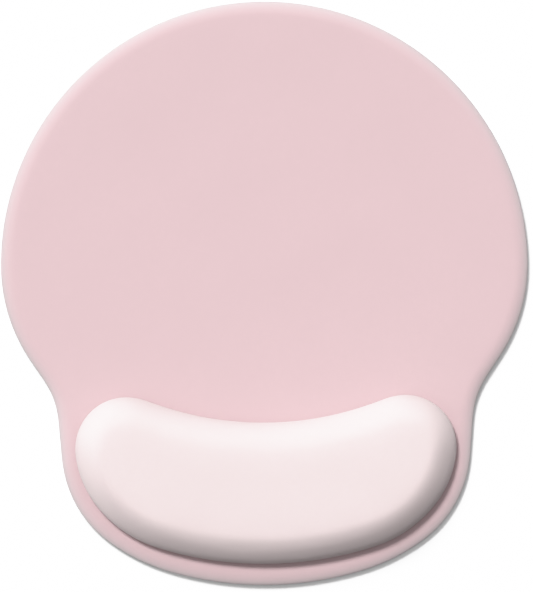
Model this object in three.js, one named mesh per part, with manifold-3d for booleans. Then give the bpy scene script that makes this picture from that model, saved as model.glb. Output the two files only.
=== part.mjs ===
// Mouse mat with an integrated gel wrist rest.
//
// A soft, fabric-wrapped mat with a pear-shaped outline carries a raised gel cushion along the
// edge nearest the user.
// Frame: millimetres, +Z up, +X to the user's right, +Y away from the user. The origin is on the
// desk, under the middle of the mat's outline, and the anti-slip base stands on z = 0.
//
// The object is a laminate, and every layer is its own mesh. From the desk up:
//   anti_slip_base         rubbery sheet with grip dots and a flush perimeter band
//   base_bonding_film      adhesive sheet under the core and the turned-in hem
//   pad_core               foam sheet with a rounded edge and a rebate for the hem
//   cover_bonding_film     adhesive sheet between the core and its fabric
//   pad_cover              knit fabric wrapped over the core's edge and turned in underneath
//   rest_bonding_film      adhesive sheet that holds the wrist rest on the mat
//   rest_backing_board     firm sheet in the rest's foot, stepped over the rest cover's hem
//   gel_pouch_bottom_film  flat film of the gel pouch
//   gel_fill               the gel itself
//   gel_pouch_top_film     formed film of the gel pouch, with the flange on the flat film
//   rest_cover             knit fabric shell of the wrist rest, its hem turned in under the board
//
// Flat layers touch. Nested curved layers keep CURVED_GAP between them.

import * as THREE from 'three';
import { mergeVertices } from 'three/addons/utils/BufferGeometryUtils.js';
import ManifoldModule from 'manifold-3d';

const manifold = await ManifoldModule();
manifold.setup();

// ------------------------------------------------------------------ outline dimensions

// An outline is given as its right half, from the far middle point clockwise to the near one.
// A step is an arc (a positive radius is convex, a negative one hollow) or a straight length.
// One last arc closes the half; its radius and angle follow from the steps before it.
const MAT_STEPS = [
  { radius: 110.0, degrees: 90, pieces: 10 },
  { radius: 69.7, degrees: 34.25, pieces: 4 },
  { length: 9.96 },
  { radius: -33.9, degrees: 29.65, pieces: 4 }, // the waist
  { length: 16.46 },
  { radius: 48.2, degrees: 49.27, pieces: 6 },
  { radius: 83.4, degrees: 19.92, pieces: 2 },
];
const MAT_LAST_PIECES = 2;

const REST_STEPS = [
  { radius: -135.0, degrees: 21.78, pieces: 4 }, // the hollow far edge
  { radius: 21.48, degrees: 117.19, pieces: 10 },
  { radius: 41.86, degrees: 32.8, pieces: 4 },
  { radius: 52.5, degrees: 34.54, pieces: 4 },
];
const REST_LAST_PIECES = 3;
const REST_FAR_EDGE_Y = -53.95; // the middle of the hollow far edge

// The wrist rest's spine, the line its crown closes towards.
const SPINE_SHARE = 0.66; // x on the spine for each millimetre of x on the outline
const SPINE_HALF_LENGTH = 50;
const SPINE_BOW_RADIUS = 150; // the spine bows away from the user towards its ends

// ------------------------------------------------------------------ layer dimensions

// Insets are distances inside the outline. Heights and tops are above the desk.
const CURVED_GAP = 0.3;

// Mat.
const MAT_HEIGHT = 6.0; // to the top of the fabric the mouse runs on
const BASE_THICKNESS = 1.2;
const BASE_FILM_THICKNESS = 0.15;
const COVER_THICKNESS = 0.5;
const COVER_FILM_THICKNESS = 0.1;
const BASE_INSET = 2.5;
const BASE_FILM_INSET = 3.0;
const HEM_INSET = 11.0; // inner edge of the cover's hem
const BASE_FILM_TOP = BASE_THICKNESS + BASE_FILM_THICKNESS;
const HEM_TOP = BASE_FILM_TOP + COVER_THICKNESS;
const COVER_UNDERSIDE = MAT_HEIGHT - COVER_THICKNESS;
const CORE_TOP = COVER_UNDERSIDE - COVER_FILM_THICKNESS;

// Grip pattern under the base.
const GRIP_BAND_INSET = 10.5; // inner edge of the flush band
const GRIP_RELIEF = 0.4; // height of the dots
const RELIEF_CUT_OVERSHOOT = 1; // the relief's cutter starts this far below the desk
const DOT_RADIUS = 3.0;
const DOT_SIDES = 8;
const DOT_OVERLAP = 0.3; // how far a dot runs up into the sheet
const DOT_PITCH = 26.0;
const DOT_ROW_PITCH = DOT_PITCH * Math.sqrt(0.75); // rows of equilateral triangles
const DOT_MARGIN = 7.0; // band to the nearest dot's centre
const DOT_REACH = 6; // rows and columns tried on each side of the origin

// Wrist rest.
const REST_HEIGHT = 25.0; // to the top of the cushion
const REST_FILM_THICKNESS = 0.2;
const REST_COVER_THICKNESS = 0.6;
const FLAT_FILM_THICKNESS = 0.2;
const FORMED_FILM_THICKNESS = 0.3;
const REST_FILM_INSET = 2.5;
const BOARD_INSET = 1.6;
const REST_HEM_INSET = 9.0; // inner edge of the rest cover's hem
const REST_BOTTOM = MAT_HEIGHT + REST_FILM_THICKNESS;
const REST_HEM_TOP = REST_BOTTOM + REST_COVER_THICKNESS;
const BOARD_TOP = 7.4;
const FLAT_FILM_TOP = BOARD_TOP + FLAT_FILM_THICKNESS;
const FLANGE_TOP = FLAT_FILM_TOP + FORMED_FILM_THICKNESS;

// Depths below the rest cover's outer skin.
const FILM_OUTER_DEPTH = REST_COVER_THICKNESS + CURVED_GAP;
const FILM_INNER_DEPTH = FILM_OUTER_DEPTH + FORMED_FILM_THICKNESS;
const GEL_DEPTH = FILM_INNER_DEPTH + CURVED_GAP;

// ------------------------------------------------------------------ sections

// A section is a list of [inset, height].
// The mat cover's outer skin, from the flat top out over the rounded edge and under.
const MAT_TOP_INSET = 6.0;
const MAT_EDGE = [
  [MAT_TOP_INSET, MAT_HEIGHT], [4.4, 5.84], [3.0, 5.48], [1.8, 4.9], [0.8, 4.14],
  [0.2, 3.48], [0.0, 2.9], [0.3, 2.15], [1.0, 1.6],
];
const MAT_FOOT_INSET = 2.0; // where the skin meets the base film's top
const MAT_INNER_FOOT_INSET = MAT_FOOT_INSET + 0.3; // the same corner inside the cover
const CORE_FOOT_INSET = 2.9; // outer edge of the core's rebate

// The rest cover's outer skin, from the crown's shoulder down to the widest line.
const SHOULDER_INSET = 12.5;
const REST_EDGE = [
  [SHOULDER_INSET, 24.65], [9.6, 24.0], [7.0, 22.5], [4.6, 20.2],
  [2.6, 17.3], [1.1, 14.2], [0.25, 11.9], [0.0, 10.0],
];
// The crown, from its middle to the shoulder: [share of the way from the shoulder to the spine,
// drop below the top].
const CROWN = [[0.75, 0.0], [0.4, 0.1]];

// The cover's skin below the widest line, outside going down and inside going up.
const REST_FOOT_INSET = 1.6; // where the skin turns under
const REST_OUTER_FOOT = [[0.2, 8.0], [0.7, 6.7], [REST_FOOT_INSET, REST_BOTTOM]];
const REST_INNER_FOOT = [[REST_FOOT_INSET - 0.25, REST_HEM_TOP], [0.82, 8.05]];

// The gel pouch below the widest line, in the same directions.
const FILM_OUTER_FOOT = [[1.75, 8.85], [3.0, FLANGE_TOP]];
const FILM_INNER_FOOT = [[3.45, FLAT_FILM_TOP], [2.1, 8.95]];
const GEL_FOOT = [[2.45, 9.05], [3.8, FLAT_FILM_TOP]];

// ------------------------------------------------------------------ finishes

const FINISHES = {
  rubber: { color: '#8f8486', roughness: 0.85 },
  baseAdhesive: { color: '#e9e2d2', roughness: 0.4 },
  adhesive: { color: '#efe9de', roughness: 0.4 },
  foam: { color: '#b9aeb0', roughness: 0.95 },
  matFabric: { color: '#e2c3c7', roughness: 0.8 },
  board: { color: '#d9d4d0', roughness: 0.9 },
  flatFilm: { color: '#dfe3e6', roughness: 0.25 },
  gel: { color: '#d7e2ea', roughness: 0.1 },
  formedFilm: { color: '#e4e8ea', roughness: 0.25 },
  restFabric: { color: '#f1e2e2', roughness: 0.8 },
};

// ------------------------------------------------------------------ outlines

// Walks one half and mirrors it. Returns the whole outline anticlockwise, each point with its
// outward normal. The heading is the direction of travel, anticlockwise from +X.
function traceOutline(steps, lastPieces, startY) {
  let x = 0;
  let y = startY;
  let heading = 0;
  const half = [];
  const addPoint = (direction) => {
    half.push({ x, y, normalX: -Math.sin(direction), normalY: Math.cos(direction) });
  };
  const addArc = (radius, angle, pieces) => {
    const centreX = x + radius * Math.sin(heading);
    const centreY = y - radius * Math.cos(heading);
    const turn = Math.sign(radius) * angle;
    for (let i = 1; i <= pieces; i++) {
      const direction = heading - (turn * i) / pieces;
      x = centreX - radius * Math.sin(direction);
      y = centreY + radius * Math.cos(direction);
      addPoint(direction);
    }
    heading -= turn;
  };
  const addLine = (length) => {
    x += length * Math.cos(heading);
    y += length * Math.sin(heading);
    addPoint(heading);
  };

  addPoint(heading);
  for (const { radius, degrees, pieces, length } of steps) {
    if (length) addLine(length);
    else addArc(radius, THREE.MathUtils.degToRad(degrees), pieces);
  }
  const lastAngle = Math.PI + heading;
  addArc(x / Math.sin(lastAngle), lastAngle, lastPieces);
  // The near middle point is put exactly on the centre line.
  Object.assign(half[half.length - 1], { x: 0, normalX: 0, normalY: -1 });

  const leftHalf = half.slice(1, -1).map((point) => (
    { ...point, x: -point.x, normalX: -point.normalX }
  ));
  return [...leftHalf, ...half.reverse()];
}

function centreInY(outline) {
  const ys = outline.map((point) => point.y);
  const middle = (Math.max(...ys) + Math.min(...ys)) / 2;
  return outline.map((point) => ({ ...point, y: point.y - middle }));
}

const MAT = centreInY(traceOutline(MAT_STEPS, MAT_LAST_PIECES, 0));
const REST = traceOutline(REST_STEPS, REST_LAST_PIECES, REST_FAR_EDGE_Y);
const REST_NEAR_EDGE_Y = Math.min(...REST.map((point) => point.y));
const SPINE_Y = (REST_FAR_EDGE_Y + REST_NEAR_EDGE_Y) / 2;

// The point on the wrist rest's spine that belongs to an outline point at x.
function spinePoint(x) {
  const spineX = THREE.MathUtils.clamp(x * SPINE_SHARE, -SPINE_HALF_LENGTH, SPINE_HALF_LENGTH);
  return { x: spineX, y: SPINE_Y + (spineX * spineX) / (2 * SPINE_BOW_RADIUS) };
}

// The outline moved in by inset, and then by spineShare of the way to the spine.
function ring(outline, inset, z, spineShare = 0) {
  return outline.map((point) => {
    const x = point.x - point.normalX * inset;
    const y = point.y - point.normalY * inset;
    const spine = spinePoint(x);
    return new THREE.Vector3(
      THREE.MathUtils.lerp(x, spine.x, spineShare),
      THREE.MathUtils.lerp(y, spine.y, spineShare),
      z,
    );
  });
}

// Moves a section into the material by depth, with mitred corners. Sections run outwards and
// down, so the material is to the left of the direction of travel in [inset, height] axes.
function sinkSection(section, depth) {
  const normals = section.slice(1).map(([inset, height], i) => {
    const run = inset - section[i][0];
    const rise = height - section[i][1];
    const length = Math.hypot(run, rise);
    return [-rise / length, run / length];
  });
  return section.map(([inset, height], i) => {
    const before = normals[Math.max(0, i - 1)];
    const after = normals[Math.min(normals.length - 1, i)];
    const scale = depth / (1 + before[0] * after[0] + before[1] * after[1]);
    return [inset + (before[0] + after[0]) * scale, height + (before[1] + after[1]) * scale];
  });
}

// The mat's edge section at a depth below the cover's skin, with its first point given.
function matSection(depth, firstPoint) {
  return [firstPoint, ...sinkSection(MAT_EDGE, depth).slice(1)];
}

// The cushion's stations [inset, height, spine share] at a depth below the cover's skin.
function restSection(depth) {
  const crown = CROWN.map(([share, drop]) => [SHOULDER_INSET, REST_HEIGHT - drop - depth, share]);
  return [...crown, ...sinkSection(REST_EDGE, depth)];
}

// ------------------------------------------------------------------ geometry

function fillLoop(loop) {
  const contour = loop.map((point) => new THREE.Vector2(point.x, point.y));
  return THREE.ShapeUtils.triangulateShape(contour, []);
}

// A closed body lofted through stations [inset, height, spine share], from the top outwards,
// over and under. The first and last rings are filled flat. The last fill faces down: it is the
// underside of a solid, or the ceiling inside a shell.
function loft(outline, stations) {
  const rings = stations.map(([inset, z, share]) => ring(outline, inset, z, share));
  const count = outline.length;
  const index = [];
  for (let r = 0; r + 1 < rings.length; r++) {
    const upper = r * count;
    const lower = upper + count;
    for (let i = 0; i < count; i++) {
      const next = (i + 1) % count;
      index.push(upper + i, lower + i, lower + next);
      index.push(upper + i, lower + next, upper + next);
    }
  }
  for (const [a, b, c] of fillLoop(rings[0])) index.push(a, b, c);
  const last = (rings.length - 1) * count;
  for (const [a, b, c] of fillLoop(rings[rings.length - 1])) {
    index.push(last + a, last + c, last + b);
  }
  return indexedGeometry(rings.flat().flatMap((point) => point.toArray()), index);
}

function indexedGeometry(positions, index) {
  const geometry = new THREE.BufferGeometry();
  geometry.setAttribute('position', new THREE.Float32BufferAttribute(positions, 3));
  geometry.setIndex(index);
  geometry.computeVertexNormals();
  return geometry;
}

// A flat sheet inside an outline.
function sheet(outline, inset, bottom, top) {
  const corners = ring(outline, inset, 0).map((point) => new THREE.Vector2(point.x, point.y));
  const options = { depth: top - bottom, bevelEnabled: false, steps: 1 };
  return new THREE.ExtrudeGeometry(new THREE.Shape(corners), options).translate(0, 0, bottom);
}

// Normals and texture coordinates are dropped so that coincident vertices merge.
function toSolid(geometry) {
  const bare = geometry.clone();
  bare.deleteAttribute('normal');
  bare.deleteAttribute('uv');
  const merged = mergeVertices(bare);
  return new manifold.Manifold(new manifold.Mesh({
    numProp: 3,
    vertProperties: new Float32Array(merged.getAttribute('position').array),
    triVerts: new Uint32Array(merged.getIndex().array),
  }));
}

function fromSolid(solid) {
  const mesh = solid.getMesh();
  return indexedGeometry(mesh.vertProperties, Array.from(mesh.triVerts));
}

// ------------------------------------------------------------------ mat

// Whether a point is inside a loop and further than margin from every side of it.
function isWellInside(loop, x, y, margin) {
  let inside = false;
  let nearest = Infinity;
  loop.forEach((start, i) => {
    const end = loop[(i + loop.length - 1) % loop.length];
    const sideX = end.x - start.x;
    const sideY = end.y - start.y;
    const crosses = (start.y > y) !== (end.y > y);
    if (crosses && x < (sideX * (y - start.y)) / sideY + start.x) inside = !inside;
    const along = ((x - start.x) * sideX + (y - start.y) * sideY) / (sideX ** 2 + sideY ** 2);
    const t = THREE.MathUtils.clamp(along, 0, 1);
    nearest = Math.min(nearest, Math.hypot(x - start.x - t * sideX, y - start.y - t * sideY));
  });
  return inside && nearest > margin;
}

function gripDot(x, y) {
  const height = GRIP_RELIEF + DOT_OVERLAP;
  return new THREE.CylinderGeometry(DOT_RADIUS, DOT_RADIUS, height, DOT_SIDES)
    .rotateX(Math.PI / 2)
    .translate(x, y, height / 2);
}

// The underside is relieved inside the flush band, and grip dots stand in the relief.
function antiSlipBase() {
  const relief = sheet(MAT, GRIP_BAND_INSET, -RELIEF_CUT_OVERSHOOT, GRIP_RELIEF);
  let body = toSolid(sheet(MAT, BASE_INSET, 0, BASE_THICKNESS)).subtract(toSolid(relief));
  const bandEdge = ring(MAT, GRIP_BAND_INSET, 0);
  for (let row = -DOT_REACH; row <= DOT_REACH; row++) {
    const stagger = row % 2 ? 0.5 : 0;
    for (let column = -DOT_REACH; column <= DOT_REACH; column++) {
      const x = (column + stagger) * DOT_PITCH;
      const y = row * DOT_ROW_PITCH;
      if (isWellInside(bandEdge, x, y, DOT_MARGIN)) body = body.add(toSolid(gripDot(x, y)));
    }
  }
  return fromSolid(body);
}

function baseBondingFilm() {
  return sheet(MAT, BASE_FILM_INSET, BASE_THICKNESS, BASE_FILM_TOP);
}

// Follows the inside of the cover at CURVED_GAP. The underside is rebated for the hem.
function padCore() {
  return loft(MAT, [
    ...matSection(COVER_THICKNESS + CURVED_GAP, [MAT_TOP_INSET + CURVED_GAP, CORE_TOP]),
    [CORE_FOOT_INSET, HEM_TOP],
    [HEM_INSET + CURVED_GAP, HEM_TOP],
    [HEM_INSET + CURVED_GAP, BASE_FILM_TOP],
  ]);
}

function coverBondingFilm() {
  return sheet(MAT, MAT_TOP_INSET + CURVED_GAP, CORE_TOP, COVER_UNDERSIDE);
}

// Outer skin, hem, and the same way back inside.
function padCover() {
  return loft(MAT, [
    ...MAT_EDGE,
    [MAT_FOOT_INSET, BASE_FILM_TOP],
    [HEM_INSET, BASE_FILM_TOP],
    [HEM_INSET, HEM_TOP],
    [MAT_INNER_FOOT_INSET, HEM_TOP],
    ...matSection(COVER_THICKNESS, [MAT_TOP_INSET, COVER_UNDERSIDE]).reverse(),
  ]);
}

// ------------------------------------------------------------------ wrist rest

function restBondingFilm() {
  return sheet(REST, REST_FILM_INSET, MAT_HEIGHT, REST_BOTTOM);
}

function restBackingBoard() {
  return loft(REST, [
    [BOARD_INSET, BOARD_TOP],
    [BOARD_INSET, REST_HEM_TOP],
    [REST_HEM_INSET + CURVED_GAP, REST_HEM_TOP],
    [REST_HEM_INSET + CURVED_GAP, REST_BOTTOM],
  ]);
}

function gelPouchBottomFilm() {
  return sheet(REST, BOARD_INSET, BOARD_TOP, FLAT_FILM_TOP);
}

function gelFill() {
  return loft(REST, [...restSection(GEL_DEPTH), ...GEL_FOOT]);
}

// Dome, weld root, flange on the flat film, and back up inside.
function gelPouchTopFilm() {
  return loft(REST, [
    ...restSection(FILM_OUTER_DEPTH),
    ...FILM_OUTER_FOOT,
    [BOARD_INSET, FLANGE_TOP],
    [BOARD_INSET, FLAT_FILM_TOP],
    ...FILM_INNER_FOOT,
    ...restSection(FILM_INNER_DEPTH).reverse(),
  ]);
}

// Outer skin, hem, and the same way back inside.
function restCover() {
  return loft(REST, [
    ...restSection(0),
    ...REST_OUTER_FOOT,
    [REST_HEM_INSET, REST_BOTTOM],
    [REST_HEM_INSET, REST_HEM_TOP],
    ...REST_INNER_FOOT,
    ...restSection(REST_COVER_THICKNESS).reverse(),
  ]);
}

// ------------------------------------------------------------------ assembly

const group = new THREE.Group();

function addPiece(name, geometry, finish) {
  const mesh = new THREE.Mesh(geometry, new THREE.MeshStandardMaterial(finish));
  mesh.name = name;
  group.add(mesh);
}

addPiece('anti_slip_base', antiSlipBase(), FINISHES.rubber);
addPiece('base_bonding_film', baseBondingFilm(), FINISHES.baseAdhesive);
addPiece('pad_core', padCore(), FINISHES.foam);
addPiece('cover_bonding_film', coverBondingFilm(), FINISHES.adhesive);
addPiece('pad_cover', padCover(), FINISHES.matFabric);
addPiece('rest_bonding_film', restBondingFilm(), FINISHES.adhesive);
addPiece('rest_backing_board', restBackingBoard(), FINISHES.board);
addPiece('gel_pouch_bottom_film', gelPouchBottomFilm(), FINISHES.flatFilm);
addPiece('gel_fill', gelFill(), FINISHES.gel);
addPiece('gel_pouch_top_film', gelPouchTopFilm(), FINISHES.formedFilm);
addPiece('rest_cover', restCover(), FINISHES.restFabric);

export default group;
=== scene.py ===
# A soft mat with a gel wrist rest on it, lying flat with its anti-slip base on z = 0. +Z is up, +Y points
# away from the user and +X to the user's right. Lengths are metres; MM turns millimetres into metres.
import math

import bmesh
import bpy
import numpy as np
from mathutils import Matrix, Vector
from mathutils.geometry import delaunay_2d_cdt


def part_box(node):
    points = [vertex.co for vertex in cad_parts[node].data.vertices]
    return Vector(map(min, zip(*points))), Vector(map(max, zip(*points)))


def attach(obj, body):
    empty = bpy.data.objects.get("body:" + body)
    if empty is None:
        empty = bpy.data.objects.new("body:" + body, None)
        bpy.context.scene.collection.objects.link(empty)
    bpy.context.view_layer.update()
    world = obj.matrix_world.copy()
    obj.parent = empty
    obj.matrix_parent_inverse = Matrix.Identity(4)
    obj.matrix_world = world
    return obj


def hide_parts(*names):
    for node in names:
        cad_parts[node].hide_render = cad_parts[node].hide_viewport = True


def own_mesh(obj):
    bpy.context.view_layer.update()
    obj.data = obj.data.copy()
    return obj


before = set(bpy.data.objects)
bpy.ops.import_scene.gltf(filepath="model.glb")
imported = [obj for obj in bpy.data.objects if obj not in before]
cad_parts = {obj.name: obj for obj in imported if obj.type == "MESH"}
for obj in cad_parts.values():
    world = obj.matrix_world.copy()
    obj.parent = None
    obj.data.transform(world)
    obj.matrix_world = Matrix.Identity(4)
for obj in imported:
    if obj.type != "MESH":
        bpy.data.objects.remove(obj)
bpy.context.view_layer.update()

MM = 0.001
scene = bpy.context.scene

# ------------------------------------------------------------------------------------------ outlines
# Right halves of the two outlines, clockwise from the far middle point: [radius in mm, degrees] for
# an arc (a negative radius bends anticlockwise) or ["line", length in mm]. A last arc closes each half.
MAT_STEPS = [
    [110.0, 90.0], [69.7, 34.25], ["line", 9.96], [-33.9, 29.65], ["line", 16.46],
    [48.2, 49.27], [83.4, 19.92],
]
REST_STEPS = [[-135.0, 21.78], [21.48, 117.19], [41.86, 32.8], [52.5, 34.54]]
MAT_FAR_Y, REST_FAR_Y = 0.0, -53.95  # far middle points, mm
CHAIN_PITCH = 0.2  # spacing of the points along a half, mm
SOFTEN = 2.5  # spread of the smoothing along the outline, mm
SAMPLES = 4096


def half_chain(steps, start_y):
    """Points in mm along the right half, from the far middle point to the near one."""
    x, y, heading = 0.0, start_y, 0.0
    points = [(x, y)]

    def arc(radius, angle):
        nonlocal x, y, heading
        turn = math.copysign(angle, radius)
        centre_x, centre_y = x + radius * math.sin(heading), y - radius * math.cos(heading)
        n = max(2, int(abs(radius) * angle / CHAIN_PITCH))
        for i in range(1, n + 1):
            h = heading - turn * i / n
            points.append((centre_x - radius * math.sin(h), centre_y + radius * math.cos(h)))
        heading -= turn
        x, y = points[-1]

    for kind, amount in steps:
        if kind == "line":
            n = max(2, int(amount / CHAIN_PITCH))
            x0, y0 = x, y
            for i in range(1, n + 1):
                x = x0 + amount * i / n * math.cos(heading)
                y = y0 + amount * i / n * math.sin(heading)
                points.append((x, y))
        else:
            arc(kind, math.radians(amount))
    left = math.pi + heading
    arc(x / math.sin(left), left)
    return np.array(points)


def closed_outline(steps, start_y, node):
    """The whole outline, anticlockwise from the far middle point, softened so that its curvature has
    no jumps, and fitted to the CAD node's box. Returns evenly spaced complex points and their unit
    outward normals."""
    half = half_chain(steps, start_y)
    half[-1, 0] = 0.0
    loop = np.r_[half * [-1, 1], half[::-1][1:-1]]
    z = loop[:, 0] + 1j * loop[:, 1]
    closed = np.r_[z, z[:1]]
    travel = np.r_[0, np.cumsum(np.abs(np.diff(closed)))]
    even = np.arange(SAMPLES) * travel[-1] / SAMPLES
    z = np.interp(even, travel, closed.real) + 1j * np.interp(even, travel, closed.imag)
    cycles = np.fft.fftfreq(SAMPLES, 1 / SAMPLES)
    wave = cycles * 2 * math.pi / travel[-1]
    z = np.fft.ifft(np.fft.fft(z) * np.exp(-((wave * SOFTEN) ** 2) / 2))
    z = (z - np.conj(np.roll(z[::-1], 1))) / 2  # exactly the same on both sides

    def fit(values, low, high):
        start, end = values.min(), values.max()
        return low + (values - start) / (end - start) * (high - low)

    lo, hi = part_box(node)
    z = fit(z.real, lo.x, hi.x) + 1j * fit(z.imag, lo.y, hi.y)
    tangent = np.fft.ifft(np.fft.fft(z) * 1j * cycles)
    return z, -1j * tangent / np.abs(tangent)


def pick(outline, count):
    """A number of evenly spaced points of an outline, and their normals."""
    z, normals = outline
    m = len(z)
    place = np.arange(count) / count * m
    i = np.floor(place).astype(int)
    w = place - i
    p = z[i % m] * (1 - w) + z[(i + 1) % m] * w
    q = normals[i % m] * (1 - w) + normals[(i + 1) % m] * w
    return p, q / np.abs(q)


MAT_OUTLINE = closed_outline(MAT_STEPS, MAT_FAR_Y, "pad_cover")
REST_OUTLINE = closed_outline(REST_STEPS, REST_FAR_Y, "rest_cover")
MAT = pick(MAT_OUTLINE, 420)
BASE = pick(MAT_OUTLINE, 260)
REST = pick(REST_OUTLINE, 320)
REST_NORMALS = REST[1]
MAT_CENTRE = 4 * MM * 1j  # the mat's rings shrink towards this point


# ---------------------------------------------------------------------------------------- mesh tools
def inset_ring(line, inset, height, share=0.0):
    """A ring inset from a line of points and normals, then shrunk by a share towards MAT_CENTRE."""
    points, normals = line
    return (points - normals * inset) * (1 - share) + MAT_CENTRE * share, height


def inset_rings(line, level, *stations):
    """Rings at stations of (inset, height above the level), in mm."""
    return [inset_ring(line, inset * MM, level + height * MM) for inset, height in stations]


def grid_points(rings):
    """Rings of complex points and heights to an array [ring, around, xyz]."""
    return np.stack([np.stack([p.real, p.imag, np.broadcast_to(h, p.shape)], -1) for p, h in rings])


def flat_uv(grid, direction):
    """The skin unrolled outwards from its first ring, in metres, so that a weave keeps its size over
    an edge."""
    step = np.linalg.norm(np.diff(grid, axis=0), axis=2)
    length = np.r_[np.zeros((1, grid.shape[1])), np.cumsum(step, axis=0)]
    start = grid[0, :, 0] + 1j * grid[0, :, 1]
    uv = start[None, :] + direction[None, :] * length
    return np.stack([uv.real, uv.imag], -1)


def loft(name, grid, uv=None, cap_first=None, cap_last=None):
    """Quads through grid[ring, around]. A cap is "fan" (to its middle), a pair of points and triangles
    that fill the ring, or None. Without uv, and on a cap's own points, the UV map is x and y."""
    rings, n = grid.shape[:2]
    bm = bmesh.new()
    layer = bm.loops.layers.uv.new("UVMap")
    verts = [bm.verts.new(p) for p in grid.reshape(-1, 3)]
    uvs = [] if uv is None else uv.reshape(-1, 2)

    def face(ids):
        f = bm.faces.new([verts[i] for i in ids])
        f.smooth = True
        for loop, i in zip(f.loops, ids):
            loop[layer].uv = uvs[i] if i < len(uvs) else (loop.vert.co.x, loop.vert.co.y)

    for r in range(rings - 1):
        for j in range(n):
            k = (j + 1) % n
            face([r * n + j, (r + 1) * n + j, (r + 1) * n + k, r * n + k])
    for which, cap in ((0, cap_first), (rings - 1, cap_last)):
        if cap is None:
            continue
        start = len(verts)
        if isinstance(cap, str):
            points, faces = [grid[which].mean(0)], [(j, (j + 1) % n, n) for j in range(n)]
        else:
            points, faces = cap
        verts += [bm.verts.new(p) for p in points]
        for ids in faces:
            ids = [which * n + i if i < n else start + i - n for i in ids]
            face(ids if which == 0 else ids[::-1])
    mesh = bpy.data.meshes.new(name)
    bm.normal_update()
    bm.to_mesh(mesh)
    bm.free()
    obj = bpy.data.objects.new(name, mesh)
    scene.collection.objects.link(obj)
    return obj


def grid_normals(grid):
    """Outward vertex normals of a grid whose rings run from the middle outwards."""
    around = np.roll(grid, -1, axis=1) - np.roll(grid, 1, axis=1)
    normals = np.cross(np.gradient(grid, axis=0), around)
    return normals / np.maximum(np.linalg.norm(normals, axis=2, keepdims=True), 1e-12)


def inside(ring, point):
    """Whether a ring of complex points winds round a point."""
    return abs(np.angle(np.roll(ring - point, -1) / (ring - point)).sum()) > 3


def finish_piece(obj, body, material, node):
    obj.data.materials.append(material)
    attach(obj, body)
    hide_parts(node)
    return obj


# ----------------------------------------------------------------------------------------- materials
class Nodes:
    """A material with a Principled shader, and short calls that add nodes to it."""

    def __init__(self, name):
        self.material = bpy.data.materials.new(name)
        self.material.use_nodes = True
        self.tree = self.material.node_tree
        self.tree.nodes.clear()
        self.output = self.node("OutputMaterial")
        self.bsdf = self.node("BsdfPrincipled")
        self.link(self.bsdf.outputs["BSDF"], self.output.inputs["Surface"])

    def node(self, kind):
        return self.tree.nodes.new("ShaderNode" + kind)

    def link(self, a, b):
        self.tree.links.new(a, b)

    def put(self, socket, value):
        if hasattr(value, "is_output"):
            self.link(value, socket)
        else:
            socket.default_value = value

    def math(self, operation, *values):
        n = self.node("Math")
        n.operation = operation
        for socket, value in zip(n.inputs, values):
            self.put(socket, value)
        return n.outputs[0]

    def add(self, a, b):
        return self.math("ADD", a, b)

    def times(self, a, b):
        return self.math("MULTIPLY", a, b)

    def weigh(self, a, share_a, b, share_b):
        return self.add(self.times(a, share_a), self.times(b, share_b))

    def uv(self):
        n = self.node("UVMap")
        n.uv_map = "UVMap"
        return n.outputs["UV"]

    def where(self):
        return self.node("TexCoord").outputs["Object"]

    def split(self, vector):
        n = self.node("SeparateXYZ")
        self.link(vector, n.inputs[0])
        return n.outputs

    def noise(self, vector, scale, detail=2.0, rough=0.5):
        n = self.node("TexNoise")
        self.link(vector, n.inputs["Vector"])
        n.inputs["Scale"].default_value = scale
        n.inputs["Detail"].default_value = detail
        n.inputs["Roughness"].default_value = rough
        return n.outputs["Fac"]

    def voronoi(self, vector, scale, feature="F1"):
        n = self.node("TexVoronoi")
        n.feature = feature
        self.link(vector, n.inputs["Vector"])
        n.inputs["Scale"].default_value = scale
        return n.outputs["Distance"]

    def span(self, value, over, to=(0.0, 1.0)):
        """The range `over` mapped on to the range `to`."""
        n = self.node("MapRange")
        n.inputs["From Min"].default_value, n.inputs["From Max"].default_value = over
        n.inputs["To Min"].default_value, n.inputs["To Max"].default_value = to
        self.link(value, n.inputs["Value"])
        return n.outputs[0]

    def mix(self, factor, a, b, mode="MIX"):
        n = self.node("Mix")
        n.data_type, n.blend_type = "RGBA", mode
        for index, value in ((0, factor), (6, a), (7, b)):  # the colour sockets are 6 and 7
            self.put(n.inputs[index], value)
        return n.outputs[2]

    def bump(self, height, distance, strength):
        n = self.node("Bump")
        n.inputs["Distance"].default_value = distance
        n.inputs["Strength"].default_value = strength
        self.link(height, n.inputs["Height"])
        return n.outputs["Normal"]

    def set(self, **values):
        for key, value in values.items():
            self.put(self.bsdf.inputs[key.replace("_", " ")], value)
        return self.material


def rgb(r, g, b):
    return (r, g, b, 1.0)


def grey(level):
    return rgb(level, level, level)


def shade(color, k):
    return rgb(color[0] * k, color[1] * k, color[2] * k)


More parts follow.
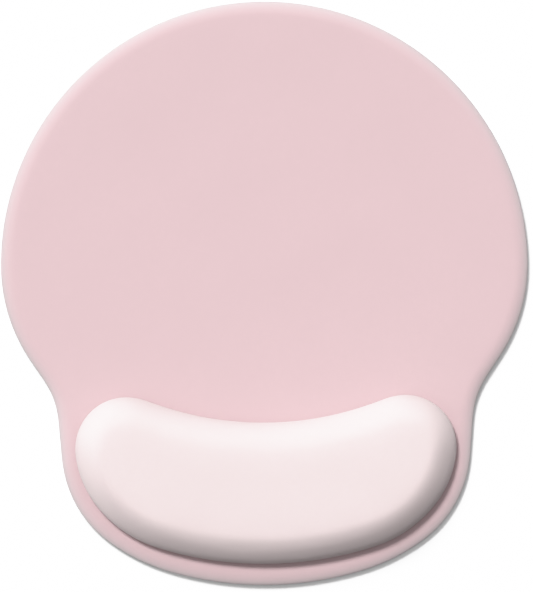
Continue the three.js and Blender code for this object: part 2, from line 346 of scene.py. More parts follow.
def knit(name, color, sheen, painted_sheen_strength):
    """A fine smooth knit: columns of small V-shaped stitches, with fibre noise and soft, wide colour
    drift. The last argument is the strength of a painted sheen, a pale whitening painted along the edges."""
    column_width, stitch_length, relief = 0.42 * MM, 0.36 * MM, 0.07 * MM
    lean = 1.3  # how far a stitch's legs slant
    m = Nodes(name)
    u, v, _ = m.split(m.uv())
    u = m.math("DIVIDE", u, column_width)
    v = m.math("DIVIDE", v, stitch_length)
    v = m.add(v, m.span(m.noise(m.uv(), scale=900.0), over=(0.3, 0.7), to=(-0.10, 0.10)))
    # each column is two yarn legs that lean towards each other: a chevron that flips across it
    column = m.math("ABSOLUTE", m.math("SUBTRACT", m.math("FRACT", u), 0.5))
    slanted = m.add(v, m.times(column, lean))
    leg = m.math("ABSOLUTE", m.math("SINE", m.times(slanted, math.pi)))
    arch = m.math("SINE", m.times(m.math("FRACT", u), math.pi))
    groove = m.math("POWER", arch, 0.55)  # below 1, the power keeps columns wide and grooves narrow
    stitch = m.times(groove, m.add(0.45, m.times(leg, 0.55)))
    fibre = m.noise(m.uv(), scale=5200.0, detail=3.0, rough=0.6)
    height = m.weigh(stitch, 0.8, fibre, 0.2)
    drift = m.span(m.noise(m.where(), scale=22.0, detail=3.0, rough=0.55), over=(0.3, 0.7))
    mottle = m.span(m.noise(m.where(), scale=420.0, detail=3.0, rough=0.6), over=(0.3, 0.7))
    c = m.mix(drift, shade(color, 0.985), shade(color, 1.012))
    c = m.mix(m.times(mottle, 0.5), c, shade(color, 0.975))
    # painted shade: the colour is darkened where the stitches lie low, in the grooves between them
    c = m.mix(m.span(stitch, over=(0.1, 0.9), to=(0.5, 0.0)), c, shade(color, 0.86))
    c = m.mix(m.span(fibre, over=(0.45, 0.75), to=(0.0, 0.18)), c, shade(color, 1.08))
    # painted sheen: along the rolled edges, where the cloth slopes and also turns away from the view, the
    # colour is mixed towards near-white
    turn = m.node("LayerWeight")
    turn.inputs["Blend"].default_value = 0.5
    _, _, up = m.split(m.node("NewGeometry").outputs["Normal"])
    tilt = m.math("MAXIMUM", m.math("SUBTRACT", 1.0, up), 0.0)
    edge = m.math("MINIMUM", turn.outputs["Facing"], tilt)
    gain, limit, falloff = 1.5 * painted_sheen_strength, 0.7 * painted_sheen_strength, 0.95
    painted_edge_sheen = m.math("MINIMUM", m.times(m.math("POWER", edge, falloff), gain), limit)
    c = m.mix(painted_edge_sheen, c, rgb(0.97, 0.96, 0.96))
    # painted shade: bounce rays see the cloth darkened to 55 % of its colour, so it throws back less
    # light on to neighbouring surfaces
    bounce_shade_mask = m.node("LightPath").outputs["Is Diffuse Ray"]
    c = m.mix(bounce_shade_mask, c, m.mix(1.0, c, grey(0.55), "MULTIPLY"))
    return m.set(
        Base_Color=c,
        Roughness=m.span(stitch, over=(0.0, 1.0), to=(0.86, 0.70)),
        Specular_IOR_Level=0.28,
        Sheen_Weight=sheen,
        Sheen_Roughness=0.45,
        Sheen_Tint=rgb(1.0, 0.97, 0.97),
        Normal=m.bump(height, distance=relief, strength=0.6),
    )


def rubber(name, color):
    """Moulded anti-slip rubber: a fine pebbled grain, faint rubbed patches and dust."""
    grain = 2600.0
    m = Nodes(name)
    w = m.where()
    pebble = m.voronoi(w, scale=grain * 0.5)
    fine = m.noise(w, scale=grain, detail=3.0, rough=0.6)
    patch = m.span(m.noise(w, scale=38.0, detail=4.0, rough=0.6), over=(0.35, 0.7))
    dust = m.span(m.noise(w, scale=1500.0, rough=0.7), over=(0.66, 0.8), to=(0.0, 0.35))
    c = m.mix(patch, shade(color, 0.9), shade(color, 1.12))
    # painted shade: the low pits of the pebbled grain are darkened
    c = m.mix(m.span(pebble, over=(0.0, 0.7), to=(0.4, 0.0)), c, shade(color, 0.7))
    c = m.mix(dust, c, rgb(0.55, 0.53, 0.52))
    height = m.weigh(pebble, 0.7, fine, 0.3)
    return m.set(
        Base_Color=c,
        Roughness=m.span(patch, over=(0, 1), to=(0.78, 0.6)),
        Specular_IOR_Level=0.35,
        Normal=m.bump(height, distance=0.05 * MM, strength=0.7),
    )


def foam(name, color, cell_scale):
    """Closed-cell foam rubber: small round cells and a slightly uneven colour."""
    m = Nodes(name)
    w = m.where()
    cells = m.voronoi(w, scale=cell_scale, feature="SMOOTH_F1")
    tone = m.span(m.noise(w, scale=60.0, detail=3.0), over=(0.3, 0.7))
    c = m.mix(tone, shade(color, 0.94), shade(color, 1.05))
    # painted shade: the hollows of the cells are darkened
    c = m.mix(m.span(cells, over=(0.0, 0.5), to=(0.45, 0.0)), c, shade(color, 0.62))
    return m.set(
        Base_Color=c,
        Roughness=m.span(cells, over=(0, 0.6), to=(0.98, 0.85)),
        Specular_IOR_Level=0.2,
        Normal=m.bump(cells, distance=0.12 * MM, strength=0.8),
    )


def film(name, color, rough, transmission=0.0):
    """Thin film or dried adhesive: brush streaks, small bubbles and uneven gloss."""
    m = Nodes(name)
    w = m.where()
    stretched = m.node("Mapping")
    stretched.inputs["Scale"].default_value = (0.35, 2.4, 1.0)
    m.link(w, stretched.inputs["Vector"])
    streak = m.noise(stretched.outputs[0], scale=260.0, detail=3.0, rough=0.6)
    bubbles = m.voronoi(w, scale=520.0)
    c = m.mix(m.span(streak, over=(0.3, 0.7)), shade(color, 0.95), shade(color, 1.03))
    # painted shade: the dents of the bubbles are darkened
    c = m.mix(m.span(bubbles, over=(0.0, 0.12), to=(0.5, 0.0)), c, shade(color, 0.82))
    height = m.add(m.times(streak, 0.5), m.span(bubbles, over=(0.0, 0.15), to=(0.0, 0.5)))
    return m.set(
        Base_Color=c,
        Roughness=m.span(streak, over=(0.3, 0.7), to=(rough * 0.7, rough * 1.3)),
        Transmission_Weight=transmission,
        Normal=m.bump(height, distance=0.03 * MM, strength=0.6),
    )


def gel(name, color):
    """Clear soft gel with trapped bubbles and a wet surface."""
    m = Nodes(name)
    w = m.where()
    bubbles = m.voronoi(w, scale=240.0)
    cloud = m.noise(w, scale=45.0, detail=4.0, rough=0.6)
    c = m.mix(m.span(cloud, over=(0.3, 0.7)), shade(color, 0.95), shade(color, 1.04))
    c = m.mix(m.span(bubbles, over=(0.0, 0.1), to=(0.7, 0.0)), c, rgb(0.95, 0.97, 0.98))
    return m.set(
        Base_Color=c,
        Roughness=m.span(cloud, over=(0.3, 0.7), to=(0.04, 0.14)),
        IOR=1.41,
        Transmission_Weight=0.35,
        Subsurface_Weight=0.4,
        Subsurface_Radius=(0.01, 0.012, 0.014),
        Subsurface_Scale=0.4,
        Coat_Weight=0.3,
        Normal=m.bump(cloud, distance=0.2 * MM, strength=0.4),
    )


# the last argument of each knit sets its painted sheen along the edges
MAT_FABRIC = knit("mat_knit", rgb(0.79, 0.582, 0.607), sheen=0.2, painted_sheen_strength=0.75)
REST_FABRIC = knit("rest_knit", rgb(0.905, 0.772, 0.775), sheen=0.12, painted_sheen_strength=0.10)
BASE_RUBBER = rubber("base_rubber_grain", rgb(0.20, 0.17, 0.175))
CORE_FOAM = foam("core_foam_cells", rgb(0.36, 0.31, 0.32), cell_scale=1900.0)
BOARD_FOAM = foam("board_foam_cells", rgb(0.72, 0.69, 0.66), cell_scale=2600.0)
ADHESIVE = film("dried_adhesive", rgb(0.74, 0.67, 0.55), rough=0.45)
POUCH_FILM = film("pouch_film_clear", rgb(0.78, 0.82, 0.84), rough=0.2, transmission=0.5)
GEL = gel("clear_gel", rgb(0.66, 0.76, 0.80))

# ----------------------------------------------------------------------------------------- mat cover
mat_lo, mat_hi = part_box("pad_cover")
FILM_TOP = mat_lo.z  # the hem lies on the base film
MAT_TOP = mat_hi.z
MAT_CLOTH = 0.5 * MM
MAT_HOLLOW_TOP = MAT_TOP - 0.55 * MM
EDGE_MID = 2.9 * MM  # height of the widest line
EDGE_WIDE = 6.0 * MM  # from the widest line in to the flat top
MAT_SAG = 0.05 * MM  # the flat top lies this much below the edge's crest


def edge_steps(count):
    """Shares of the edge's width, from the flat top (1) to the widest line (0), denser at the line."""
    return (1 - np.linspace(0, 1, count)) ** 1.9


def upper_edge(share, top):
    """Height of the rounded edge: the widest line at share 0, the top at share 1."""
    return EDGE_MID + (top - EDGE_MID) * (1 - (1 - share) ** 2.1) ** 0.68


def lower_edge(angles, start, width, bottom):
    """Rings of a quarter ellipse from the widest line (angle 0) down to the bottom (a right angle)."""
    return [
        inset_ring(MAT, start + width * (1 - math.cos(a)), EDGE_MID - (EDGE_MID - bottom) * math.sin(a))
        for a in angles
    ]


def softness(x, y):
    """Slow, shallow unevenness of a soft sheet: two waves with their turns in radians per metre."""
    wide = np.sin(x * 97 + 1.3) * np.cos(y * 71 - 0.4)
    slanted = np.sin(x * 43 - y * 117 + 2.0)
    return 0.035 * MM * (wide + 0.6 * slanted)


def build_mat_cover():
    """The outer skin from the middle out and round to the hem, then the inner skin back."""
    rings = []
    for share in np.linspace(0.985, 0.0, 40):
        p, h = inset_ring(MAT, EDGE_WIDE, MAT_TOP, share)
        fade = np.clip(share / 0.25, 0, 1)
        rings.append((p, h - MAT_SAG * fade + softness(p.real, p.imag) * fade))
    for k in edge_steps(17)[1:]:
        rings.append(inset_ring(MAT, EDGE_WIDE * k, upper_edge(k, MAT_TOP)))
    rings += lower_edge(np.linspace(0, math.pi / 2, 8)[1:], 0.0, 2.0 * MM, FILM_TOP)
    rings += inset_rings(
        MAT, FILM_TOP,
        (3.5, 0), (6.0, 0), (8.5, 0), (10.6, 0), (11.0, 0.12), (11.0, 0.38),
        (10.6, 0.5), (8.5, 0.5), (6.0, 0.5), (3.5, 0.5),
    )
    down = np.linspace(math.pi / 2, 0, 6)[:-1]
    rings += lower_edge(down, MAT_CLOTH, 1.8 * MM, FILM_TOP + MAT_CLOTH)
    for k in edge_steps(9)[::-1]:
        inset = MAT_CLOTH + (EDGE_WIDE - MAT_CLOTH) * k
        rings.append(inset_ring(MAT, inset, upper_edge(k, MAT_TOP - MAT_CLOTH)))
    for share in np.linspace(0.0, 0.985, 20)[1:]:
        rings.append(inset_ring(MAT, EDGE_WIDE, MAT_HOLLOW_TOP, share))
    grid = grid_points(rings)
    direction = MAT[0] - MAT_CENTRE
    uv = flat_uv(grid, direction / np.abs(direction))
    return loft("mat_cover", grid, uv, cap_first="fan", cap_last="fan")


finish_piece(build_mat_cover(), "mat", MAT_FABRIC, "pad_cover")

# --------------------------------------------------------------------------------- layers of the mat
CORE_FLAT, CORE_RIM = 6.3 * MM, 0.82 * MM  # insets of the core's flat top and of its widest line
CORE_FOOT = 11.35 * MM  # inset of its underside, within the hem


def build_core():
    lo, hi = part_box("pad_core")
    top, bottom = hi.z - 0.04 * MM, lo.z + 0.01 * MM
    hem_gap = 0.52  # from the film to just above the hem, mm
    rings = [inset_ring(MAT, CORE_FLAT, top, s) for s in (0.97, 0.8, 0.6, 0.4, 0.2, 0.0)]
    for k in edge_steps(9)[1:]:
        inset = CORE_RIM + (CORE_FLAT - CORE_RIM) * k
        rings.append(inset_ring(MAT, inset, upper_edge(k, top)))
    rings += inset_rings(MAT, 0.0, (0.98, 2.5), (1.6, 2.1))
    rings += inset_rings(MAT, FILM_TOP, (3.0, hem_gap), (11.3, hem_gap))
    rings += [inset_ring(MAT, CORE_FOOT, bottom, s) for s in (0.0, 0.2, 0.5, 0.8, 0.97)]
    return loft("foam_core", grid_points(rings), cap_first="fan", cap_last="fan")


finish_piece(build_core(), "mat", CORE_FOAM, "pad_core")


def mat_sheet(name, node, inset, trim):
    """A flat adhesive sheet with bevelled rims, its top lowered by the trim."""
    lo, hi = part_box(node)
    bevel = 0.25 * (hi.z - lo.z)
    top, bottom = hi.z - trim, lo.z
    stations = [
        (inset, top, 0.97), (inset, top, 0.5), (inset + bevel, top), (inset, top - bevel),
        (inset, bottom + bevel), (inset + bevel, bottom), (inset, bottom, 0.5), (inset, bottom, 0.97),
    ]
    grid = grid_points([inset_ring(MAT, *station) for station in stations])
    obj = loft(name, grid, cap_first="fan", cap_last="fan")
    finish_piece(obj, "mat", ADHESIVE, node)


mat_sheet("base_glue", "base_bonding_film", inset=3.0 * MM, trim=0.01 * MM)
mat_sheet("cover_glue", "cover_bonding_film", inset=6.4 * MM, trim=0.07 * MM)

# ------------------------------------------------------------------------------------ anti-slip base
RELIEF = 0.4 * MM  # the field between the dots lies this far above the ground
FIELD_INSET = 10.8  # mm
DOT_RADIUS, DOT_PITCH, DOT_SIDES = 3.0 * MM, 26.0 * MM, 28
DOT_ROWS = range(-6, 7)
HOLE_RADIUS = DOT_RADIUS + 0.25 * MM  # the hole each dot fills in the field
# from the hole in to the dot's flat face: (radius beyond the dot's, height), mm
DOT_PROFILE = [(0.08, 0.33), (0.0, 0.22), (-0.06, 0.1), (-0.2, 0.02), (-0.5, 0.0), (-1.5, 0.0)]


def dot_centres():
    """Complex centres on a staggered grid, well within the raised rim."""
    points, normals = BASE
    limit = points - normals * 10.5 * MM
    centres = []
    for r in DOT_ROWS:
        for c in DOT_ROWS:
            x = (c + (0.5 if r % 2 else 0.0)) * DOT_PITCH
            w = complex(x, r * DOT_PITCH * math.sqrt(0.75))
            if inside(limit, w) and np.abs(limit - w).min() > 7.0 * MM:
                centres.append(w)
    return centres


def build_base():
    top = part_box("anti_slip_base")[1].z
    points, normals = BASE
    n = len(points)
    rings = [inset_ring(BASE, 2.8 * MM, top, s) for s in (0.98, 0.75, 0.5, 0.25)]
    rings += inset_rings(BASE, top, (2.8, 0), (2.55, -0.1), (2.5, -0.3))
    rings += inset_rings(
        BASE, 0.0,
        (2.5, 0.35), (2.58, 0.12), (2.8, 0), (6.5, 0), (10.2, 0), (10.42, 0.1), (10.55, 0.3),
    )
    rings.append(inset_ring(BASE, FIELD_INSET * MM, RELIEF))
    obj = loft("anti_slip_underside", grid_points(rings), cap_first="fan")
    bm = bmesh.new()
    bm.from_mesh(obj.data)
    bm.verts.ensure_lookup_table()
    rim = [bm.verts[(len(rings) - 1) * n + j] for j in range(n)]

    # the field: triangles between the rim and the dots' holes
    dots = dot_centres()
    turn = np.exp(2j * math.pi * np.arange(DOT_SIDES) / DOT_SIDES)
    plan = [Vector((v.co.x, v.co.y)) for v in rim]
    loops = [list(range(n))]
    for w in dots:
        start = len(plan)
        plan += [Vector((z.real, z.imag)) for z in w + turn * HOLE_RADIUS]
        loops.append(list(range(start, start + DOT_SIDES)))
    edges = [(a, b) for ids in loops for a, b in zip(ids, ids[1:] + ids[:1])]
    placed, _, faces, origin, _, _ = delaunay_2d_cdt(plan, edges, [], 0, 1e-9)
    made = [
        rim[src[0]] if src and src[0] < n else bm.verts.new((at.x, at.y, RELIEF))
        for at, src in zip(placed, origin)
    ]
    index_of = {src[0]: i for i, src in enumerate(origin) if src}
    field_edge = points - normals * FIELD_INSET * MM
    for ids in faces:
        middle = sum((complex(placed[i].x, placed[i].y) for i in ids), 0j) / len(ids)
        if any(abs(middle - w) < DOT_RADIUS + 0.2 * MM for w in dots):
            continue
        if inside(field_edge, middle):
            bm.faces.new([made[i] for i in ids][::-1]).smooth = False

    for w, loop in zip(dots, loops[1:]):
        previous = [made[index_of[i]] for i in loop]
        for beyond, height in DOT_PROFILE:
            circle = w + turn * (DOT_RADIUS + beyond * MM)
            ring = [bm.verts.new((z.real, z.imag, height * MM)) for z in circle]
            for a in range(DOT_SIDES):
                b = (a + 1) % DOT_SIDES
                bm.faces.new([previous[a], previous[b], ring[b], ring[a]]).smooth = True
            previous = ring
        middle = bm.verts.new((w.real, w.imag, 0.0))
        for a in range(DOT_SIDES):
            bm.faces.new([previous[a], previous[(a + 1) % DOT_SIDES], middle]).smooth = True
    bmesh.ops.recalc_face_normals(bm, faces=bm.faces)
    bm.to_mesh(obj.data)
    bm.free()
    return obj


finish_piece(build_base(), "mat", BASE_RUBBER, "anti_slip_base")

# --------------------------------------------------------------------------------- wrist rest: shape
rest_lo, rest_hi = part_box("rest_cover")
FOOT_Z, REST_TOP = rest_lo.z, rest_hi.z
WIDEST_Z = 10.0 * MM
CROWN_INSET_MM = 12.5  # the flat crown starts here
CROWN_INSET = CROWN_INSET_MM * MM
CROWN_PITCH = 2.0 * MM  # spacing of the crown's points
EDGE_RINGS = 24  # rings from the crown out to the widest line
WALL_WIDTH = 1.6 * MM  # the wall draws in by this much towards the foot

# Slope of the cushion's surface in degrees, at distances in mm in from its outline: a full round edge
# about 12 mm wide, then a nearly flat crown. The far edge runs out into the crown more softly.
SLOPE_AT = [0.0, 0.4, 1.7, 2.9, 4.6, 7.1, 9.6, 11.0, 12.5, 16.0, 20.0, 29.5]
NEAR_SLOPE = [86.0, 73.0, 61.5, 57.0, 52.5, 42.0, 26.0, 9.5, 1.5, 0.4, 0.2, 0.0]
FAR_SLOPE = [86.0, 74.5, 64.5, 58.5, 50.0, 35.0, 20.5, 12.0, 6.0, 1.8, 0.4, 0.0]
STEEPEST = 86.0
DOME_MM = np.linspace(0, SLOPE_AT[-1], 3000)
BELL_HALF = 60  # half the width of the smoothing bell, in samples of DOME_MM


def dome_table(slope):
    """Heights at DOME_MM: the slopes added up, from the widest line to the top."""
    raw = np.interp(DOME_MM, SLOPE_AT, slope)
    bell = np.exp(-np.linspace(-3, 3, 2 * BELL_HALF + 1) ** 2 / 2)
    soft = np.convolve(np.pad(raw, BELL_HALF, mode="edge"), bell / bell.sum(), "valid")
    soft = raw + (soft - raw) * np.clip(DOME_MM / 0.8, 0, 1)  # unsmoothed at the outline itself
    rise = np.tan(np.radians(np.minimum(soft, STEEPEST))) * (DOME_MM[1] - DOME_MM[0])
    z = np.cumsum(rise)
    z = (z - z[0]) / (z[-1] - z[0])
    return WIDEST_Z + (REST_TOP - WIDEST_Z) * z


DOME_D = DOME_MM * MM
NEAR_Z = dome_table(NEAR_SLOPE)
FAR_Z = dome_table(FAR_SLOPE)
COARSE_LINE, COARSE_NORMALS = (part[::4] for part in REST_OUTLINE)


def dome_height(d, normal):
    """Height at a distance in from the outline, where the outline faces along the normal."""
    w = np.clip((normal.imag + 0.3) / 0.9, 0, 1)
    w = w * w * (3 - 2 * w)
    return np.interp(d, DOME_D, NEAR_Z) * (1 - w) + np.interp(d, DOME_D, FAR_Z) * w


def dome(xy):
    """Height of the dome over complex points of the plan."""
    gap = np.abs(xy[:, None] - COARSE_LINE[None, :])
    return dome_height(gap.min(1), COARSE_NORMALS[gap.argmin(1)])


def crown_fill(pitch):
    """Points and triangles that fill the ring where the crown starts."""
    ring = REST[0] - REST_NORMALS * CROWN_INSET
    rows = np.arange(ring.imag.min(), ring.imag.max(), pitch * math.sqrt(0.75))
    margin = CROWN_INSET + 0.55 * pitch
    inner = []
    for r, y in enumerate(rows):
        for x in np.arange(ring.real.min() + (pitch / 2 if r % 2 else 0.0), ring.real.max(), pitch):
            w = complex(x, y)
            if inside(ring, w) and np.abs(COARSE_LINE - w).min() > margin:
                inner.append(w)
    plan = [Vector((w.real, w.imag)) for w in list(ring) + inner]
    _, _, faces, origin, _, _ = delaunay_2d_cdt(plan, [], [list(range(len(ring)))], 1, 1e-9)
    source = [src[0] for src in origin]
    return np.array(inner), [tuple(source[i] for i in ids) for ids in faces]


CROWN_XY, CROWN_FACES = crown_fill(CROWN_PITCH)


def flat_fill(z):
    """The crown's fill laid flat at a height."""
    return np.c_[CROWN_XY.real, CROWN_XY.imag, np.full(len(CROWN_XY), z)], CROWN_FACES


def dome_ring(d, shrink=0.0, z_scale=1.0):
    """A ring of the cushion's dome, at a distance in from the widest line."""
    h = dome_height(d, REST_NORMALS)
    return inset_ring(REST, d + shrink, FOOT_Z + (h - FOOT_Z) * z_scale)


def wall_ring(a, shrink=0.0):
    """A ring between the widest line (a 0) and the foot (a 1)."""
    z = WIDEST_Z - (WIDEST_Z - FOOT_Z) * math.sin(a * math.pi / 2)
    k = (WIDEST_Z - z) / (WIDEST_Z - FOOT_Z)
    return inset_ring(REST, WALL_WIDTH * (1 - math.sqrt(max(0.0, 1 - k ** 3))) + shrink, z)


def rest_rings(level, *stations):
    """Grid of level rings at (inset, height above the level), in mm."""
    return grid_points(inset_rings(REST, level, *stations))


# --------------------------------------------------------------------------- wrist rest: cloth skin
CLOTH_FRAMES = 20
MOVE_CAP = 0.6 * MM  # the cloth's movement eases towards this limit
GIVE = 0.35  # share of the movement that the skin keeps
SLACK, LOW = 0.3 * MM, 0.97  # the trial skin starts this much narrower, and at this share of height
SMOOTHINGS = 8


def inflate(grid, top, foot_fill, first_held):
    """Cloth simulation of the closed skin, held from a ring on and across the foot. Returns how far
    each point of the rings and of the top fill moves, smoothed over its neighbours."""
    rings, n = grid.shape[:2]
    skin = loft("cloth_trial", grid, cap_first=top, cap_last=foot_fill)
    count = len(skin.data.vertices)
    moving = rings * n + len(top[0])
    held = [*range(first_held * n, rings * n), *range(moving, count)]
    skin.vertex_groups.new(name="held").add(held, 1.0, "REPLACE")
    before = np.zeros(count * 3)
    skin.data.vertices.foreach_get("co", before)
    edges = np.zeros(len(skin.data.edges) * 2, dtype=int)
    skin.data.edges.foreach_get("vertices", edges)
    edges = edges.reshape(-1, 2)
    cloth = skin.modifiers.new("Cloth", "CLOTH")
    s = cloth.settings
    s.quality = 6
    s.mass = 0.15
    s.tension_stiffness = s.compression_stiffness = 25
    s.shear_stiffness = 12
    s.bending_stiffness = 1.5
    s.use_pressure = True
    s.uniform_pressure_force = 4.0
    s.vertex_group_mass = "held"
    s.effector_weights.gravity = 0
    cloth.point_cache.frame_start, cloth.point_cache.frame_end = 1, CLOTH_FRAMES
    for f in range(1, CLOTH_FRAMES + 1):
        scene.frame_set(f)
    depsgraph = bpy.context.evaluated_depsgraph_get()
    done = skin.evaluated_get(depsgraph).to_mesh()
    after = np.zeros(count * 3)
    done.vertices.foreach_get("co", after)
    skin.evaluated_get(depsgraph).to_mesh_clear()
    scene.frame_set(1)
    bpy.data.objects.remove(skin)
    shift = (after - before).reshape(-1, 3)
    size = np.linalg.norm(shift, axis=1, keepdims=True)
    shift *= MOVE_CAP * np.tanh(size / MOVE_CAP) / np.maximum(size, 1e-9)
    degree = np.bincount(edges.ravel(), minlength=count)[:, None]
    for _ in range(SMOOTHINGS):
        around = np.zeros_like(shift)
        np.add.at(around, edges[:, 0], shift[edges[:, 1]])
        np.add.at(around, edges[:, 1], shift[edges[:, 0]])
        shift = 0.5 * shift + 0.5 * around / degree
    return shift[: rings * n].reshape(grid.shape), shift[rings * n : moving]


def build_rest_skin():
    """Ring points and crown points of the cushion's outer skin."""
    insets = CROWN_INSET * np.linspace(1, 0, EDGE_RINGS) ** 1.6
    walls = np.linspace(0, 1, 9)[1:]
    skin = grid_points([dome_ring(d) for d in insets] + [wall_ring(a) for a in walls])
    crown = np.c_[CROWN_XY.real, CROWN_XY.imag, dome(CROWN_XY)]
    rings = [dome_ring(d, SLACK * (1 - d / CROWN_INSET), LOW) for d in insets]
    rings += [wall_ring(a, SLACK * (1 - a)) for a in walls]
    rings += inset_rings(REST, FOOT_Z, (3.0, 0), (6.0, 0), (9.0, 0), (CROWN_INSET_MM, 0))
    slack_skin = grid_points(rings)
    slack_crown = np.c_[crown[:, :2], FOOT_Z + (crown[:, 2] - FOOT_Z) * LOW]
    skin_shift, crown_shift = inflate(
        slack_skin, (slack_crown, CROWN_FACES), flat_fill(FOOT_Z), first_held=len(skin) - 2
    )
    swollen = slack_skin[: len(skin)] + skin_shift[: len(skin)]
    swollen_crown = slack_crown + crown_shift
    # the swollen skin keeps the frame's width, depth and height
    lo, hi = swollen.reshape(-1, 3).min(0), swollen.reshape(-1, 3).max(0)
    tall = max(hi[2], swollen_crown[:, 2].max())
    for axis, (a, b) in enumerate(((rest_lo.x, rest_hi.x), (rest_lo.y, rest_hi.y))):
        middle, target = (lo[axis] + hi[axis]) / 2, (a + b) / 2
        for part in (swollen, swollen_crown):
            scale = (b - a) / (hi[axis] - lo[axis])
            part[..., axis] = (part[..., axis] - middle) * scale + target
    for part in (swollen, swollen_crown):
        part[..., 2] = FOOT_Z + (part[..., 2] - FOOT_Z) * (REST_TOP - FOOT_Z) / (tall - FOOT_Z)
    # the pouch under the cloth holds it close to its moulded shape
    return skin + (swollen - skin) * GIVE, crown + (swollen_crown - crown) * GIVE


SKIN, CROWN = build_rest_skin()
SKIN_NORMALS = grid_normals(SKIN)


def under_skin(depth, lowest):
    """Rings at a depth below the skin, in mm, from the crown down to a height."""
    grid = SKIN - SKIN_NORMALS * (depth * MM)
    return grid[[i for i in range(len(grid)) if i < EDGE_RINGS or grid[i, :, 2].min() > lowest]]


def under_crown(depth):
    return CROWN - [0, 0, depth * MM], CROWN_FACES


# -------------------------------------------------------------------------------- wrist rest: pieces
REST_CLOTH = 0.6  # mm


def build_rest_cover():
    hem = rest_rings(
        FOOT_Z,
        (3.5, 0.02), (6.0, 0.02), (8.7, 0.02), (9.0, 0.15), (9.0, 0.45),
        (8.7, 0.58), (6.0, 0.58), (3.5, 0.58), (1.9, 0.62), (1.2, 1.2),
    )
    inner = under_skin(REST_CLOTH, FOOT_Z + 1.6 * MM)[::-1]
    grid = np.concatenate([SKIN, hem, inner])
    return loft(
        "wrist_rest_cover", grid, flat_uv(grid, REST_NORMALS),
        cap_first=under_crown(0.0), cap_last=under_crown(REST_CLOTH),
    )


rest_cover = finish_piece(build_rest_cover(), "cushion", REST_FABRIC, "rest_cover")

POUCH_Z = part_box("gel_pouch_bottom_film")[1].z  # the gel and the pouch's dome stand on this film
LIFT = 0.02  # gap above the film, mm


def build_gel():
    depth = 1.5
    grid = np.concatenate([
        under_skin(depth, 10.2 * MM),
        rest_rings(0.0, (2.5, 9.1), (3.2, 8.1)),
        rest_rings(POUCH_Z, (3.9, LIFT), (CROWN_INSET_MM, LIFT)),
    ])
    foot_fill = flat_fill(POUCH_Z + LIFT * MM)
    return loft("gel_body", grid, cap_first=under_crown(depth), cap_last=foot_fill)


def build_pouch():
    """The film dome over the gel, with a flat flange round its foot."""
    outer, inner = 0.9, 1.2  # depths of its two faces, mm
    grid = np.concatenate([
        under_skin(outer, 10.0 * MM),
        rest_rings(0.0, (1.8, 8.9)),
        rest_rings(
            POUCH_Z, (2.9, 0.34), (2.3, 0.3), (1.7, 0.28), (1.62, 0.15), (1.7, LIFT), (3.4, LIFT)
        ),
        rest_rings(0.0, (2.15, 9.0)),
        under_skin(inner, 10.0 * MM)[::-1],
    ])
    return loft("gel_pouch_dome", grid, cap_first=under_crown(outer), cap_last=under_crown(inner))


gel_body = finish_piece(build_gel(), "cushion", GEL, "gel_fill")
pouch = finish_piece(build_pouch(), "cushion", POUCH_FILM, "gel_pouch_top_film")


def rest_sheet(name, node, inset, material):
    """A flat sheet under the cushion, trimmed a little above and below, with bevelled rims."""
    lo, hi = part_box(node)
    trim = 0.01 * MM
    top, bottom = hi.z - trim, lo.z + trim
    bevel = 0.2 * (top - bottom)
    stations = [
        (CROWN_INSET, top), (inset + bevel, top), (inset, top - bevel),
        (inset, bottom + bevel), (inset + bevel, bottom), (CROWN_INSET, bottom),
    ]
    grid = grid_points([inset_ring(REST, *station) for station in stations])
    obj = loft(name, grid, cap_first=flat_fill(top), cap_last=flat_fill(bottom))
    finish_piece(obj, "mat", material, node)


rest_sheet("rest_glue", "rest_bonding_film", 2.5 * MM, ADHESIVE)
rest_sheet("pouch_floor_film", "gel_pouch_bottom_film", 1.65 * MM, POUCH_FILM)


def build_board():
    """The backing board, stepped in at its foot to clear the cover's hem."""
    lo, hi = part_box("rest_backing_board")
    top = hi.z - 0.01 * MM
    grid = np.concatenate([
        rest_rings(top, (CROWN_INSET_MM, 0), (1.85, 0), (1.7, -0.1)),
        rest_rings(
            lo.z, (1.7, 0.74), (1.85, 0.62), (9.3, 0.62), (9.35, LIFT), (CROWN_INSET_MM, LIFT)
        ),
    ])
    bottom_fill = flat_fill(lo.z + LIFT * MM)
    return loft("backing_board", grid, cap_first=flat_fill(top), cap_last=bottom_fill)


finish_piece(build_board(), "mat", BOARD_FOAM, "rest_backing_board")

# each of the cushion's layers gets a mesh of its own
for piece, foot_z in ((rest_cover, FOOT_Z), (gel_body, POUCH_Z), (pouch, POUCH_Z)):
    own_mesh(piece)


# ---------------------------------------------------------------------------------- floor and lights
def make_floor():
    """A pale floor for the camera that throws little light back, clear from below."""
    bm = bmesh.new()
    bmesh.ops.create_grid(bm, x_segments=4, y_segments=4, size=6.0)
    mesh = bpy.data.meshes.new("floor")
    bm.to_mesh(mesh)
    bm.free()
    floor = bpy.data.objects.new("floor", mesh)
    floor.location.z = -0.02 * MM
    scene.collection.objects.link(floor)
    m = Nodes("floor_paper")
    seen = m.node("LightPath").outputs["Is Camera Ray"]
    m.set(
        Base_Color=m.mix(seen, grey(0.12), grey(0.94)),
        Roughness=0.95,
        Specular_IOR_Level=0.0,
        Emission_Color=grey(1.0),
        Emission_Strength=m.times(seen, 0.14),
    )
    geometry = m.node("NewGeometry")
    clear = m.node("BsdfTransparent")
    mixer = m.node("MixShader")
    m.link(geometry.outputs["Backfacing"], mixer.inputs[0])
    m.link(m.bsdf.outputs[0], mixer.inputs[1])
    m.link(clear.outputs[0], mixer.inputs[2])
    m.link(mixer.outputs[0], m.output.inputs["Surface"])
    mesh.materials.append(m.material)
    return floor


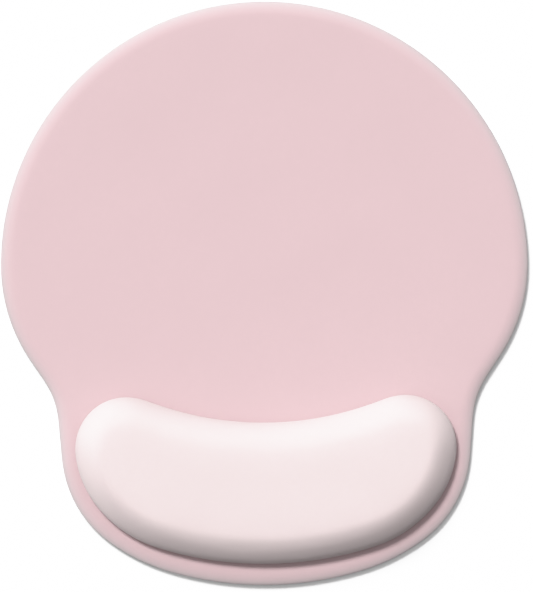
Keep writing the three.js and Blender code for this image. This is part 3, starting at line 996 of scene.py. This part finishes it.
def sun(name, receiver, state, azimuth, elevation, strength, angle, shadow=True):
    """A sun that reaches nothing but the receiver (INCLUDE), or everything but it (EXCLUDE). Azimuth
    is measured from +Y towards -X; angles are in degrees."""
    light = bpy.data.lights.new(name, "SUN")
    light.energy = strength
    light.angle = math.radians(angle)
    light.use_shadow = shadow
    obj = bpy.data.objects.new(name, light)
    a, e = math.radians(azimuth), math.radians(elevation)
    to_light = Vector((-math.sin(a) * math.cos(e), math.cos(a) * math.cos(e), math.sin(e)))
    obj.rotation_mode = "QUATERNION"
    obj.rotation_quaternion = to_light.to_track_quat("Z", "Y")
    obj.location = to_light * 2
    scene.collection.objects.link(obj)
    group = bpy.data.collections.new(name + "_receivers")
    obj.light_linking.receiver_collection = group
    group.objects.link(receiver)
    group.collection_objects[0].light_linking.link_state = state


floor = make_floor()
sun("key", floor, "EXCLUDE", azimuth=31, elevation=65.2, strength=2.08, angle=12)
sun("floor_key", floor, "INCLUDE", azimuth=28, elevation=53, strength=4.5, angle=26)
sun("cushion_fill", rest_cover, "INCLUDE",
    azimuth=74, elevation=-10, strength=1.25, angle=30, shadow=False)
sun("cushion_rim", rest_cover, "INCLUDE",
    azimuth=-32, elevation=-8, strength=0.6, angle=30, shadow=False)


def make_world():
    """White surroundings, bright towards the far left and dim towards the near right, with a plain
    bright backdrop for the camera."""
    world = bpy.data.worlds.new("studio")
    scene.world = world
    world.use_nodes = True
    nodes, link = world.node_tree.nodes, world.node_tree.links.new
    nodes.clear()
    output = nodes.new("ShaderNodeOutputWorld")
    ambient = nodes.new("ShaderNodeBackground")
    backdrop = nodes.new("ShaderNodeBackground")
    mixer = nodes.new("ShaderNodeMixShader")
    path = nodes.new("ShaderNodeLightPath")
    coordinates = nodes.new("ShaderNodeTexCoord")
    toward = nodes.new("ShaderNodeVectorMath")
    toward.operation = "DOT_PRODUCT"
    toward.inputs[1].default_value = Vector((-0.35, 0.8, 0.45)).normalized()
    ramp = nodes.new("ShaderNodeMapRange")
    ramp.interpolation_type = "SMOOTHSTEP"
    ramp.inputs["From Min"].default_value, ramp.inputs["From Max"].default_value = -0.3, 0.6
    ramp.inputs["To Min"].default_value, ramp.inputs["To Max"].default_value = 0.145, 0.645
    ambient.inputs["Color"].default_value = grey(1.0)
    backdrop.inputs["Color"].default_value = grey(1.0)
    backdrop.inputs["Strength"].default_value = 3.0
    link(coordinates.outputs["Generated"], toward.inputs[0])
    link(toward.outputs["Value"], ramp.inputs["Value"])
    link(ramp.outputs[0], ambient.inputs["Strength"])
    link(path.outputs["Is Camera Ray"], mixer.inputs[0])
    link(ambient.outputs[0], mixer.inputs[1])
    link(backdrop.outputs[0], mixer.inputs[2])
    link(mixer.outputs[0], output.inputs["Surface"])


make_world()

# ---------------------------------------------------------------------------------- tone and camera
scene.view_settings.view_transform = "Standard"
scene.view_settings.look = "None"
scene.view_settings.exposure = 0.0
scene.view_settings.gamma = 1.0


def roll_off(knee, brightest):
    """The camera's tone curve: straight up to the knee, then easing towards white."""
    scene.view_settings.use_curve_mapping = True
    mapping = scene.view_settings.curve_mapping
    mapping.use_clip = False
    mapping.clip_max_x = brightest
    curve = mapping.curves[3]  # the combined curve
    curve.points[0].location = (0.0, 0.0)
    curve.points[1].location = (brightest, 1.0)
    for x in (knee, knee + 0.03, 0.91, 0.95, 1.0, 1.05, 1.12, 1.2, 1.3, 1.45, 1.7, 2.2):
        curve.points.new(x, 1 - (1 - knee) * math.exp(-(x - knee) / (1 - knee)))
    for p in curve.points:
        p.handle_type = "VECTOR"
    mapping.update()


roll_off(knee=0.84, brightest=4.0)

# a long lens straight above, looking down
cam_data = bpy.data.cameras.new("camera")
cam_data.lens = 600
cam_data.sensor_width = 36
cam_data.sensor_fit = "AUTO"
cam_data.clip_start, cam_data.clip_end = 0.1, 20
cam = bpy.data.objects.new("camera", cam_data)
cam.location = (0.79 * MM, -1.11 * MM, 4.1218)
cam.rotation_euler = (0, 0, math.radians(-0.5))
scene.collection.objects.link(cam)
scene.camera = cam
